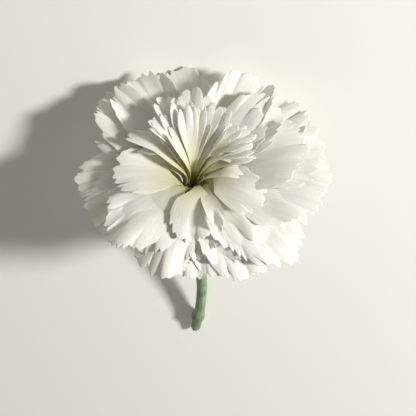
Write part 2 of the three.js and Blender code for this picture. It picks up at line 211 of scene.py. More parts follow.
# %% Outline of the margin
TOOTH_WIDTH = 2.7  # millimetres along the margin
LOBE_FLATNESS, LOBE_ROUNDNESS = 2.4, 0.6  # powers of the arch that outlines one lobe
LOBE_SHORTFALL = 0.035  # most by which one lobe ends short of the next, share of the reach
TOOTH_DRIFT = 0.06  # by which the teeth crowd and spread along the margin
SLIT_DEPTH = (0.05, 0.15)  # least and most, share of the reach
SLIT_WIDTH = 0.02
LOBE_CURL = (-0.6, 1.0)  # a lobe curls forwards more often than back


def margin(t, fan, reach, seed, style):
    """Share of the reach at which a petal ends, and how far its lobes curl, at places t."""
    rng = np.random.default_rng(seed)
    lobes = style["lobes"]
    widths = rng.uniform(0.5, 1.5, lobes)
    breaks = np.concatenate([[0], np.cumsum(widths)]) / widths.sum() * 2 - 1
    which = np.clip(np.searchsorted(breaks, t, side="right") - 1, 0, lobes - 1)
    centre, half = (breaks[:-1] + breaks[1:]) / 2, (breaks[1:] - breaks[:-1]) / 2
    local = np.clip((t - centre[which]) / half[which], -1, 1)
    arch = (1 - np.abs(local) ** LOBE_FLATNESS) ** LOBE_ROUNDNESS
    depth = rng.uniform(0.5, 1.5, lobes) * style["lobe"]
    edge = 1 - depth[which] * (1 - arch) - style["corner"] * np.abs(t) ** style["round"]
    edge = edge - rng.uniform(0, LOBE_SHORTFALL, lobes)[which] * arch
    teeth = max(2, 2 * math.radians(fan) * reach / TOOTH_WIDTH)
    warped = t + TOOTH_DRIFT * np.sin(7 * t + rng.uniform(0, 6))
    saw = np.abs(2 * ((warped * teeth / 2 + rng.uniform(0, 1)) % 1.0) - 1)
    uneven = 0.6 + 0.4 * np.sin(9 * t + rng.uniform(0, 6))
    edge = edge - style["tooth"] / reach * uneven * saw
    for _ in range(style["slits"]):
        place, cut = rng.uniform(-0.8, 0.8), rng.uniform(*SLIT_DEPTH)
        edge = edge - cut * np.exp(-(((t - place) / SLIT_WIDTH) ** 2))
    curls = rng.uniform(*LOBE_CURL, lobes)
    return edge, curls[which] * arch


print("a tooth every", TOOTH_WIDTH, "mm of the margin")

# %% [markdown]
# ## From a grid of points to a closed sheet
#
# A single layer of faces would do for a picture, but a petal has two sides and a thickness, and
# light passes through it. So each grid becomes a closed sheet: two copies pushed apart along the
# surface's own direction, thinner towards the margin, joined round the rim. Each point also gets
# a place in a map, its angle across the fan and its distance up the petal, for the veins.

# %% Closed sheet
MAP_ANGLE = 2.0  # radians of fan angle across the whole map
MAP_LENGTH = 50.0  # millimetres along the whole map


def mesh_object(name, points, faces, maps):
    """A smooth mesh from upright millimetres. maps holds each face corner's place in the map."""
    mesh = bpy.data.meshes.new(name)
    mesh.from_pydata(lay_down(points).tolist(), [], [list(face) for face in faces])
    layer = mesh.uv_layers.new(name="tissue_map")
    layer.data.foreach_set("uv", np.asarray(maps, dtype=float).ravel())
    mesh.shade_smooth()
    made = bpy.data.objects.new(name, mesh)
    bpy.context.scene.collection.objects.link(made)
    return made


def sheet_object(name, points, angle, arc, thickness, taper=0.5):
    """A closed sheet round a grid of points (rows, columns, 3) in upright millimetres."""
    rows, columns = points.shape[:2]
    along = np.gradient(points, axis=0)
    across = np.gradient(points, axis=1)
    normal = np.cross(across, along)
    normal /= np.maximum(np.linalg.norm(normal, axis=2, keepdims=True), 1e-9)
    share = np.linspace(0, 1, rows)[:, None, None]
    half = thickness / 2 * (1 - (1 - taper) * share ** 2)
    both = np.concatenate([points + normal * half, points - normal * half]).reshape(-1, 3)
    index = np.arange(rows * columns).reshape(rows, columns)
    a, b, c, d = index[:-1, :-1], index[:-1, 1:], index[1:, 1:], index[1:, :-1]
    front = np.stack([a, b, c, d], axis=-1).reshape(-1, 4)
    back = np.stack([a, d, c, b], axis=-1).reshape(-1, 4) + rows * columns
    rim = np.concatenate([
        index[0, :-1], index[:-1, -1], index[-1, :0:-1], index[:0:-1, 0],
    ])
    after = np.roll(rim, -1)
    rim_faces = np.stack([rim, rim + rows * columns, after + rows * columns, after], axis=-1)
    faces = np.concatenate([front, back, rim_faces])
    u = np.tile((angle / MAP_ANGLE + 0.5).ravel(), 2)
    v = np.tile((arc / MAP_LENGTH).ravel(), 2)
    return mesh_object(name, both, faces, np.stack([u[faces], v[faces]], axis=-1))


print("the tissue map spans", MAP_ANGLE, "radians by", MAP_LENGTH, "mm")

# %% [markdown]
# ## One petal
#
# Broad petals wrap round the flower's axis as parts of a wide cone, which keeps neighbours
# clear of each other. Narrow inner petals are folded along their length like a gutter, so they
# are built straight on their own middle line. Both start as a claw in the calyx.

# %% Petal grids
CLAW_WIDTH = 1.3
CLAW_ROWS = 5
CLAW_TAPER = 0.1  # share by which the bundle of claws narrows to the foot of the calyx
CLAW_FOOT = 4.0  # the claws stand this far above the base of the calyx, before the clearance
FAN_START = 2.0  # arc length at which the claw starts to open
ROW_SPACING = 0.85  # below 1 the rows crowd towards the margin
TEETH_FROM, SOFT_FROM, FRILL_FROM = 0.35, 0.15, 0.66  # shares of the reach
FOLDS = 4
FOLD_ACROSS, FOLD_ALONG = (0.12, 0.42), 0.14  # radians per millimetre
LEAST_WIDTH, LEAST_BOW = 0.3, 1e-3  # keep the divisions below finite


def claw_heights(ring):
    """Heights of the rows of a petal's claw, which stands in the calyx below the throat."""
    stagger = len(RINGS) - 1 - ring["ring"]  # millimetres: each ring starts above the one outside it
    bottom = CLAW_FOOT - THROAT_RISE - CALYX_LENGTH + CLEARANCE + stagger - ring["lift"]
    return np.linspace(bottom, 0, CLAW_ROWS, endpoint=False)


def soft_folds(arc, side, style, rng):
    """Height of the slow folds of one petal: a few broad waves that cross it at random."""
    folds = np.zeros_like(arc)
    for _ in range(FOLDS):
        across, along = rng.uniform(*FOLD_ACROSS), rng.uniform(-FOLD_ALONG, FOLD_ALONG)
        folds = folds + rng.uniform(0.4, 1) * np.sin(
            across * side + along * arc + rng.uniform(0, 6.28))
    return style["fold"] * folds


def petal_grid(ring, row, slot, order, seed, style):
    """Middle surface of one petal: points, fan angles and arc lengths, each rows by columns."""
    azimuth, reach, fan, slope, cup = row
    rows, columns = style["size"]
    rng = np.random.default_rng(seed + 1000)
    start = CORE_RADIUS + CAD_THICKNESS / 2 + ring["ring"] * RING_PITCH
    line = middle_lines(start, ring["lift"], reach, style["curl"], style["curl_from"],
                        style["bend"])
    t = np.linspace(-1, 1, columns)[None, :]
    edge, lobe_curl = margin(t, fan, reach, seed, style)
    share = np.linspace(0, 1, rows)[:, None] ** ROW_SPACING
    skewed = reach * (1 + rng.uniform(-1, 1) * style["skew"] * t)
    rho = share * skewed * (1 - (1 - edge) * rising_from(TEETH_FROM, share) ** 1.5)
    opened = math.radians(fan) * smooth((rho - FAN_START) / style["spread"]) * t
    claw = CLAW_WIDTH / 2 * t
    below = claw_heights(ring)[:, None] * np.ones_like(t)
    arc = np.vstack([below, rho * np.cos(opened)])
    side = np.vstack([claw * np.ones_like(below), rho * np.sin(opened) + claw])
    opened = np.vstack([np.zeros_like(below), opened])
    grown = rising_from(SOFT_FROM, arc / reach)
    at_margin = rising_from(FRILL_FROM, np.hypot(arc, side) / reach) * (arc > 0)

    # across the petal: part of a circle, so that a cupped petal keeps its width
    width = np.maximum(np.abs(side).max(axis=1, keepdims=True), LEAST_WIDTH)
    bow = np.radians(cup) * grown * (1 - style["open_tip"] * smooth(arc / reach * 2 - 1))
    safe = np.maximum(np.abs(bow), LEAST_BOW)
    flat = width / safe * np.sin(safe * side / width)
    raised = np.sign(bow) * width / safe * (1 - np.cos(safe * side / width))

    # along the petal: the middle line, read at each point's own slope
    sway = rng.uniform(-1, 1) * style["sway"] * grown
    turned = np.radians(slot + (azimuth - slot) * smooth(arc / style["spread"]) + sway)
    offset = slope - lean_in(ring, math.radians(azimuth))
    up_arc = np.maximum(arc, 0)
    middle = read_line(line[0], lean_in(ring, turned) + offset, up_arc)
    about = turned + style["wrap"] * flat / np.maximum(middle, start)
    steep = lean_in(ring, about) + offset
    radius = read_line(line[0], steep, up_arc)
    radius = radius * (1 + CLAW_TAPER * np.minimum(arc, 0) / CALYX_LENGTH)
    height = read_line(line[1], steep, up_arc) + np.minimum(arc, 0)
    rising = np.where(arc < 0, math.pi / 2, read_line(line[2], steep, up_arc))

    lift = order * (CAD_THICKNESS + CLEARANCE) * smooth(arc / BEND_LENGTH) + raised
    lift = lift + grown * soft_folds(arc, side, style, rng)
    lift = lift + style["frill"] * at_margin * lobe_curl
    outward = np.stack([np.cos(about), np.sin(about), np.zeros_like(about)], axis=-1)
    tangent = np.stack([-np.sin(about), np.cos(about), np.zeros_like(about)], axis=-1)
    height = height + lift * np.cos(rising) + shared_wave(radius, about) * (arc > 0)
    points = (radius - lift * np.sin(rising))[..., None] * outward
    points = points + ((1 - style["wrap"]) * flat)[..., None] * tangent
    points = points + height[..., None] * np.array([0, 0, 1.0])
    return press_on_table(points), opened, arc


print("claws stand", CLAW_FOOT, "mm above the base of the calyx and are", CLAW_WIDTH, "mm wide")

# %% [markdown]
# ## The petals
#
# Each ring lists its petals in the order in which their claws stand in the calyx. No two petals
# of a real flower are alike, so the size, slope and fold of each one is listed. A random
# scatter would be quicker to write, but it would not give this flower its open and closed sides.

# %% Rows of the rings
# azimuth, reach in millimetres, half the fan angle, slope, cup (all angles in degrees)
PETALS = {
    "guard_petal": [
        (-162, 43, 24, -4, 16), (-136, 42, 22, -2, -12),
        (-112, 41, 24, -26, -8), (-92, 41, 20, -28, -10), (-75, 40, 18, -27, 12),
        (-59, 43, 22, -26, -8), (-45, 46, 24, -22, -8), (-29, 49, 24, -9, 8),
        (-9, 53, 22, 7, -8), (9, 53, 22, 18, 8), (26, 51, 18, 26, 14),
        (50, 50, 22, 36, 52), (106, 50, 26, 33, 44), (149, 49, 17, 25, 36),
        (176, 45, 15, -1, 8),
    ],
    "outer_petal": [
        (-166, 36, 20, 4, 10), (-144, 36, 22, -2, -8), (-120, 37, 24, -20, -8),
        (-90, 35, 22, -24, -8), (-60, 38, 24, -21, -8), (-36, 45, 26, -14, 8),
        (-17, 48, 24, 6, -8), (5, 47, 24, 21, 8), (30, 45, 20, 34, 14),
        (86, 43, 18, 32, 30), (128, 49, 22, 31, 44), (163, 41, 7, 12, 20),
    ],
    "middle_petal": [
        (-172, 34, 23, 15, 8), (-135, 29, 24, -12, 8), (-88, 30, 24, -17, 8),
        (-67, 31, 8, 2, 35), (-52, 36, 22, -16, -8), (-30, 33, 20, 8, 8),
        (2, 38, 22, 14, 10), (28, 38, 20, 33, 18), (104, 32, 14, 42, 30),
    ],
    "inner_petal": [
        (-14, 25, 11, 14, 30), (1, 29, 11, 20, 30), (18, 31, 11, 28, 35), (38, 32, 10, 35, 35),
        (62, 32, 10, 42, 40), (90, 31, 9, 48, 40), (114, 32, 9, 50, 40), (140, 31, 10, 50, 45),
        (157, 33, 9, 24, 40),
    ],
    "heart_petal": [
        (20, 22, 12, 42, 45), (46, 26, 12, 48, 45), (76, 26, 11, 54, 50), (96, 29, 11, 56, 35),
        (122, 27, 10, 58, 45), (141, 25, 10, 56, 45),
    ],
}
print("petals in each ring:", {name: len(rows) for name, rows in PETALS.items()})

# %% [markdown]
# ## The tuft
#
# In the middle of a double carnation many narrow petals stand close together, folded along their
# length. They could be a few petals with deeper slits, but separate ones part and cross as real
# ones do. Each has the same five numbers as a petal of a ring.

# %% Rows of the tuft
TUFT = [
    (163, 29, 9, 22, 35), (149, 31, 8, 48, 40), (146, 31, 9, 46, 40), (132, 32, 9, 52, 40),
    (110, 34, 10, 56, 35), (101, 38, 10, 46, 30), (86, 36, 11, 47, 25), (74, 35, 11, 45, 25),
    (100, 36, 11, 49, 25), (113, 38, 11, 46, 25), (82, 33, 11, 51, 25), (68, 33, 11, 47, 25),
    (71, 25, 11, 50, 30), (62, 33, 11, 39, 25), (50, 31, 11, 41, 25), (40, 32, 11, 36, 25),
    (44, 24, 12, 48, 30), (32, 26, 11, 42, 30), (19, 26, 11, 40, 30), (24, 30, 11, 36, 30),
    (14, 32, 11, 30, 30), (10, 22, 11, 38, 30), (0, 26, 11, 28, 30), (-8, 22, 11, 22, 30),
    (5, 31, 11, 25, 30), (34, 20, 11, 50, 30), (90, 30, 9, 58, 45), (58, 28, 9, 50, 35),
    (128, 24, 9, 60, 40), (106, 31, 9, 60, 40), (152, 26, 9, 40, 40),
]
print("petals in the tuft:", len(TUFT))

# %% [markdown]
# ## Broad and narrow petals
#
# An outer petal is a broad fan with many teeth, hardly cupped, that rolls a little at its margin.
# A petal of the middle is narrow, nearly smooth at its margin and rolled further. Two sets of
# numbers are enough for both kinds, because the same function builds them.

# %% Styles of petals
# spread and bend in mm, curl and sway in degrees; fold, frill and tooth are heights in mm;
# curl_from, skew, lobe and corner are shares; wrap 1 bends a blade round the flower's axis and
# 0 leaves it straight; open_tip is the share of the cup lost at the tip; size is rows by columns
BROAD = dict(spread=15, bend=7, curl=22, curl_from=0.55, wrap=1.0, sway=3, skew=0.12, fold=0.8,
             frill=2.6, lobes=5, slits=1, tooth=2.4, lobe=0.05, corner=0.24, round=3, open_tip=0,
             size=(64, 130))
NARROW = dict(spread=24, bend=10, curl=34, curl_from=0.5, wrap=0.0, sway=8, skew=0.05, fold=0.35,
              frill=1.7, lobes=3, slits=0, tooth=0.4, lobe=0.12, corner=0.2, round=2.6, open_tip=0.6,
              size=(48, 52))
RING_STYLE = {
    "guard_petal": BROAD, "outer_petal": BROAD, "middle_petal": dict(BROAD, lobes=4, sway=2),
    "inner_petal": NARROW, "heart_petal": NARROW,
}
print("grids:", {name: style["size"] for name, style in RING_STYLE.items()})

# %% [markdown]
# ## Putting the petals in
#
# The claws of a ring stand evenly in the calyx, whatever way the blades then turn. The two outer
# rings fill the whole circle. The inner rings and the tuft are gathered towards the table side,
# so that the flower looks fallen open on its upper side.

# %% Build the petals
FIRST_SEED = 4  # another number gives another flower of the same make
TUFT_SEED = 900
BACK = 90  # azimuth of the side that lies on the table
CLAW_GATHER = 0.6  # how far round from the back an inner ring stands, as a share of its blades
TUFT_GATHER = 0.5  # the same for each claw of the tuft


def slots(name):
    """Azimuths at which a ring's claws stand."""
    azimuths = [row[0] for row in PETALS[name]]
    count, middle = len(azimuths), sum(azimuths) / len(azimuths)
    sector = RINGS[name]["sector"]
    centre = middle if sector == 360 else BACK + (middle - BACK) * CLAW_GATHER
    return [centre + (k - (count - 1) / 2) * sector / count for k in range(count)]


def add_petal(name, ring, row, slot, order, seed):
    """One petal as a closed sheet that moves with the flower."""
    points, angle, arc = petal_grid(RINGS[ring], row, slot, order, seed, RING_STYLE[ring])
    petal = sheet_object(name, points, angle, arc, PETAL_THICKNESS)
    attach(petal, "root")
    return petal


petal_objects = []
for ring, rows in PETALS.items():
    for k, (row, slot) in enumerate(zip(rows, slots(ring))):
        name = f"{ring}_{k + 1:02d}"
        seed = 17 * k + 101 * RINGS[ring]["ring"] + FIRST_SEED
        petal = add_petal(name + "_blade", ring, row, slot, k % TILE_ORDERS, seed)
        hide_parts(name)
        petal_objects.append(petal)
for k, row in enumerate(TUFT):
    name = f"tuft_petal_{k + 1:02d}"
    slot = BACK + (row[0] - BACK) * TUFT_GATHER
    petal = add_petal(name, "heart_petal", row, slot, k % TILE_ORDERS, TUFT_SEED + k)
    petal_objects.append(petal)
print("petals:", len(petal_objects), "faces", sum(len(p.data.polygons) for p in petal_objects))

# %% [markdown]
# ## Round bodies
#
# The calyx, the stem and the pistil are round, so each is a stack of rings joined by faces. A
# lathe or a curve with a bevel would give plain round walls. Rings of points can also swell,
# slant and carry ridges, and every body comes out closed.

# %% Round bodies
AROUND_COLUMNS = 240
around = np.arange(AROUND_COLUMNS) / AROUND_COLUMNS * 2 * math.pi


def ring_object(name, rings):
    """A closed body from a stack of rings, an array of rows, columns and x, y, z in mm."""
    rows, columns = rings.shape[:2]
    index = np.arange(rows * columns).reshape(rows, columns)
    after = np.roll(index, -1, axis=1)
    sides = np.stack([index[:-1], after[:-1], after[1:], index[1:]], axis=-1).reshape(-1, 4)
    step = np.linalg.norm(np.diff(rings.mean(axis=1), axis=0), axis=1)
    along = np.concatenate([[0], np.cumsum(step)]) / MAP_LENGTH
    share_round = np.arange(columns + 1) / columns
    low = np.meshgrid(along[:-1], share_round[:-1], indexing="ij")
    high = np.meshgrid(along[1:], share_round[1:], indexing="ij")
    side_maps = np.stack([
        low[1], low[0], high[1], low[0], high[1], high[0], low[1], high[0],
    ], axis=-1).reshape(-1, 2)
    first, last = list(index[0][::-1]), list(index[-1])
    end_maps = [(k / columns, along[0]) for k in range(columns)]
    end_maps += [(k / columns, along[-1]) for k in range(columns)]
    faces = [list(face) for face in sides] + [first, last]
    return mesh_object(name, rings.reshape(-1, 3), faces, np.concatenate([side_maps, end_maps]))


def ring_of(radius, height):
    """One ring of points. The radius and height may change round the ring."""
    x, y = radius * np.cos(around), radius * np.sin(around)
    return np.stack([x, y, height + np.zeros(AROUND_COLUMNS)], axis=-1)


def finish_piece(piece, node):
    """Says which body a piece rides on and hides the CAD node that it replaces."""
    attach(piece, "root")
    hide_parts(node)
    return piece


print("each ring has", AROUND_COLUMNS, "points")

# %% [markdown]
# ## Calyx
#
# The calyx is a green tube that holds the claws of the petals together. It is one wall that runs
# up inside, over the rim and down outside. Its five teeth are places where the rim stands higher,
# so no piece has to be joined on. Fine nerves run along it, seven to a tooth.

# %% Calyx
CALYX_RIM = -THROAT_RISE
CALYX_BASE = CALYX_RIM - CALYX_LENGTH
CALYX_RADIUS = 6.98
CALYX_WALL = 0.8
RIM_WALL = 0.3  # the wall thins to this at the points of the teeth
CALYX_TEETH = 5
NERVES = 35
NERVE_HEIGHT, NERVE_START = 0.055, 6.0  # the nerves fade out in this length above the base
TOOTH_LENGTH, TOOTH_LEAN = 5.5, math.radians(18)
TOOTH_SHARE, TOOTH_POINT = 0.94, 0.85  # share of the rim in teeth; below 1 rounds their flanks
FLOOR_HEIGHT = 3.0  # of the calyx inside, above its base
OUTLINE_HEIGHT = np.array([0, 0.6, 1.6, 3.0, 5.0, 8.0, 12.0, 18.0, 26.0])
OUTLINE_RADIUS = np.array([2.9, 3.9, 5.1, 6.0, 6.45, 6.7, 6.9, 6.98, 6.98])

in_tooth = np.abs((around * CALYX_TEETH / (2 * math.pi) + 0.5) % 1 - 0.5) * 2
tooth = TOOTH_LENGTH * np.clip(1 - in_tooth / TOOTH_SHARE, 0, 1) ** TOOTH_POINT
nerve = NERVE_HEIGHT * np.cos(NERVES * around)


def calyx_ring(share, inset):
    """Ring at a share of the way up the wall, inset from its outer face."""
    height = share * CALYX_LENGTH
    radius = np.interp(height, OUTLINE_HEIGHT, OUTLINE_RADIUS) - inset
    grown = nerve * smooth(height / NERVE_START) if inset == 0 else 0
    return ring_of(radius + grown, CALYX_BASE + height)


def tooth_ring(share, inset):
    """Ring at a share of the way up the teeth, which lean outwards."""
    rise = tooth * share
    wall = inset * (1 - (1 - RIM_WALL / CALYX_WALL) * share)
    return ring_of(CALYX_RADIUS - wall + rise * math.sin(TOOTH_LEAN) + nerve * (1 - share),
                   CALYX_RIM + rise * math.cos(TOOTH_LEAN))


inside = [calyx_ring(s, CALYX_WALL) for s in np.linspace(0.16, 1, 14)]
inside = [ring_of(r, CALYX_BASE + FLOOR_HEIGHT) for r in (0.4, 3.0, 4.6)] + inside
teeth_in = [tooth_ring(s, CALYX_WALL) for s in np.linspace(0.1, 1, 10)]
teeth_out = [tooth_ring(s, 0) for s in np.linspace(1, 0.1, 10)]
outside = [calyx_ring(s, 0) for s in np.linspace(1, 0, 60) ** 1.3]
outside += [ring_of(r, CALYX_BASE) for r in (1.6, 0.4)]
calyx = ring_object("calyx_tube", np.array(inside + teeth_in + teeth_out + outside)[::-1])
finish_piece(calyx, "calyx")
print("calyx", len(calyx.data.polygons), "faces,", CALYX_TEETH, "teeth and", NERVES, "nerves")

# %% [markdown]
# ## Bracts
#
# Four short pointed scales sit round the foot of the calyx, in two pairs. They could be pulled
# out of the calyx wall, but on the plant they are leaves of their own that only lie against it.
# So each is a closed sheet a little way off the wall, with a keel down its middle.

# %% Bracts
BRACTS = 4
BRACT_LENGTH, BRACT_WIDTH, BRACT_THICKNESS = 10.0, 6.4, 0.6
BRACT_TAPER = 0.35  # share of the thickness left at the point
BRACT_FOOT = -0.4  # starts this far past the base of the calyx
BRACT_GAP, TIP_GAP = 0.75, 0.5  # off the wall all along, and more at the tip
BRACT_LEAST_RADIUS = 4.4  # the foot doesn't follow the calyx in to its narrow base
KEEL_HEIGHT, RIB_HEIGHT, RIBS = 0.28, 0.03, 16  # ribs: radians of the wave in half a width
BRACT_MAP_ANGLE = 0.3  # half a bract's width on the tissue map
up_bract = np.linspace(0, 1, 40)[:, None]
across_bract = np.linspace(-1, 1, 33)[None, :]
level = 0 * across_bract * up_bract  # spreads a row or a column over the whole grid

outline = np.sqrt(np.clip(1 - up_bract ** 2.4, 0.0006, 1)) * (1 - 0.25 * up_bract ** 3)
height = up_bract * BRACT_LENGTH + BRACT_FOOT
wall = np.interp(height, OUTLINE_HEIGHT, OUTLINE_RADIUS)
keel = KEEL_HEIGHT * (1 - np.abs(across_bract)) ** 2 * (1 - 0.5 * up_bract)
radius = np.maximum(wall, BRACT_LEAST_RADIUS) + BRACT_GAP + TIP_GAP * up_bract ** 3
radius = radius + keel + RIB_HEIGHT * np.cos(RIBS * across_bract)

bracts = []
for k in range(BRACTS):
    middle = math.radians(45 + 90 * k)
    turn = middle + BRACT_WIDTH / 2 * outline * across_bract / radius
    places = np.stack([
        radius * np.cos(turn), radius * np.sin(turn), CALYX_BASE + height + level,
    ], axis=-1)
    piece = sheet_object(
        f"bract_{k + 1}_leaf", places, across_bract * BRACT_MAP_ANGLE + level, height + level,
        BRACT_THICKNESS, taper=BRACT_TAPER)
    bracts.append(finish_piece(piece, f"bract_{k + 1}"))
print("bracts:", len(bracts), "of", len(bracts[0].data.polygons), "faces")

# %% [markdown]
# ## Stem
#
# The stem is a slender rod, faintly ridged, a little bowed, and flared where it meets the calyx.
# Near the cut it has one node, a swelling with a groove where a pair of leaves stood. The cut
# slants. A boolean could make that cut, but tilting the last rings keeps the mesh even.

# %% Stem
STEM_TOP = CALYX_BASE - CLEARANCE
STEM_CUT = CALYX_BASE - STEM_LENGTH
STEM_BOW = 3.0
NODE_FROM_CUT, NODE_LENGTH, NODE_SWELL = 9.0, 2.6, 0.8
GROOVE_FROM_NODE, GROOVE_WIDTH, GROOVE_DEPTH = 1.1, 0.35, 0.18
FLARE, FLARE_LENGTH = 0.25, 3.0  # the flare is a share of the radius
RIDGES, RIDGE_HEIGHT = 9, 0.035
TWISTS, TWIST_HEIGHT, TWIST_LENGTH = 4, 0.02, 9  # broader ridges that wind round the stem
CUT_SLANT = math.radians(35)
CUT_REACH = 12  # the rings tilt into the cut over this length


def stem_ring(height, share_of_radius=1.0):
    """Ring round the stem at a height. Near the cut it tilts into the slanting cut face."""
    above = height - STEM_CUT
    swell = NODE_SWELL * np.exp(-(((above - NODE_FROM_CUT) / NODE_LENGTH) ** 2))
    from_groove = (above - NODE_FROM_CUT - GROOVE_FROM_NODE) / GROOVE_WIDTH
    groove = -GROOVE_DEPTH * np.exp(-(from_groove ** 2))
    flare = FLARE * math.exp(-(STEM_TOP - height) / FLARE_LENGTH)
    ridges = RIDGE_HEIGHT * np.cos(RIDGES * around)
    ridges = ridges + TWIST_HEIGHT * np.cos(TWISTS * around + height / TWIST_LENGTH)
    radius = (STEM_RADIUS * (1 + flare) + swell + groove + ridges) * share_of_radius
    ring = ring_of(radius, height)
    cut = STEM_CUT + (STEM_RADIUS + ring[:, 1]) * math.tan(CUT_SLANT)
    near = smooth((above - CUT_REACH) / -CUT_REACH)
    ring[:, 2] = ring[:, 2] + (cut - STEM_CUT) * near
    share = (STEM_TOP - ring[:, 2]) / (STEM_TOP - STEM_CUT)
    ring[:, 0] += STEM_BOW * np.sin(math.pi * share)
    return ring


CUT_FACE = (0.05, 0.3, 0.5, 0.7, 0.86, 0.95)  # rings of the cut face, as shares of its radius
PITH_RINGS, PITH_SHRINKAGE = 3, 0.15  # the pith in the middle shrinks back a little as it dries
rings = [stem_ring(STEM_CUT, s) for s in CUT_FACE]
rings[:PITH_RINGS] = [ring + [0, 0, PITH_SHRINKAGE] for ring in rings[:PITH_RINGS]]
rings += [stem_ring(h) for h in STEM_CUT + (STEM_TOP - STEM_CUT) * np.linspace(0, 1, 150)]
rings += [stem_ring(STEM_TOP, s) for s in (0.8, 0.4, 0.05)]
stem = finish_piece(ring_object("stem_stalk", np.array(rings)), "stem")
print("stem", len(stem.data.polygons), "faces,", round(STEM_TOP - STEM_CUT, 2), "mm long")

# %% [markdown]
# ## Pistil
#
# The ovary stands on the floor of the calyx, and its two styles rise between the claws. They are
# hidden by the petals of a double flower. They stand so close that one outline can go round both, with a
# waist between them, where two separate rods would need a join on the ovary.

# %% Pistil
OVARY_FOOT = CALYX_BASE + FLOOR_HEIGHT + CLEARANCE
OVARY_LENGTH, OVARY_RADIUS, STYLE_LENGTH = 9.0, 0.95, 14.0
OVARY_UP = [0, 0.08, 0.45, 0.8, 1.0, 1.2]  # shares of the ovary's length
OVARY_OUTLINE = [0.5, 0.7, 1, 0.8, 0.45, 0.3]  # shares of its radius there
STYLES_FROM, STYLES_OVER = 0.9, 1.2  # where the styles part, in lengths of the ovary
STYLE_SPREAD, WAIST_DEPTH, WAIST_SHARPNESS = 0.42, 0.45, 0.6


def pistil_ring(height):
    """Outline round the ovary and its pair of styles, which stand close enough to share it."""
    up = (height - OVARY_FOOT) / OVARY_LENGTH
    body = OVARY_RADIUS * np.interp(up, OVARY_UP, OVARY_OUTLINE)
    spread = smooth((up - STYLES_FROM) / STYLES_OVER)
    waist = 1 - WAIST_DEPTH * spread * np.abs(np.sin(around)) ** WAIST_SHARPNESS
    return ring_of((body + STYLE_SPREAD * spread) * waist, height)


heights = OVARY_FOOT + (OVARY_LENGTH + STYLE_LENGTH) * np.linspace(0, 1, 70)
rings = [pistil_ring(h) for h in heights]
rings = [rings[0] * [s, s, 1] for s in (0.05, 0.6)] + rings
rings += [rings[-1] * [s, s, 1] + [0, 0, 0.2 * (1 - s)] for s in (0.7, 0.1)]
pistil = finish_piece(ring_object("pistil_styles", np.array(rings)), "pistil")
print("pistil", len(pistil.data.polygons), "faces,", OVARY_LENGTH + STYLE_LENGTH, "mm tall")

# %% [markdown]
# ## Helpers for the materials
#
# Every material here is built from nodes. One function turns a colour as people write it into
# the linear values that Blender works with, and another adds a node and links what feeds it.

# %% Small helpers for materials
def linear(hex_colour):
    """An sRGB hex value such as F2EFE4 as linear red, green, blue and alpha."""
    parts = [int(hex_colour[i:i + 2], 16) / 255 for i in (0, 2, 4)]
    return tuple(c / 12.92 if c <= 0.04045 else ((c + 0.055) / 1.055) ** 2.4 for c in parts) + (1,)


def add_node(material, kind, sockets=None, **settings):
    """Adds a node, sets its properties, and fills or links its input sockets."""
    made = material.node_tree.nodes.new(kind)
    for name, value in settings.items():
        setattr(made, name, value)
    for name, value in (sockets or {}).items():
        if isinstance(value, bpy.types.NodeSocket):
            material.node_tree.links.new(value, made.inputs[name])
        else:
            made.inputs[name].default_value = value
    return made


def new_material(name):
    """An empty material to add nodes to."""
    material = bpy.data.materials.new(name)
    material.use_nodes = True
    material.node_tree.nodes.clear()
    return material


print("mid grey 808080 is", round(linear("808080")[0], 3), "in linear light")

# %% [markdown]
# ## Petal tissue
#
# A white petal holds no white pigment: light scatters on the air between its clear cells, and
# some passes through. A painted map could carry the veins, but noise drawn out along the fan
# gives as many as are wanted and follows every petal. The claw keeps some green and yellow.

# %% Petal tissue
# real veins stand about 0.4 mm apart at the margin, too fine to see here, so they are drawn coarser
VEINS_ACROSS = 110.0  # over MAP_ANGLE: one every 0.7 mm at 40 mm from the throat
VEINS_ALONG = 3.0  # over MAP_LENGTH: a vein keeps its tone for about 17 mm
CRUMPLE_SIZE = 0.003  # metres, left over from the petal's folds in the bud
SCATTER_DEPTH = 0.0007  # metres that light travels inside the tissue


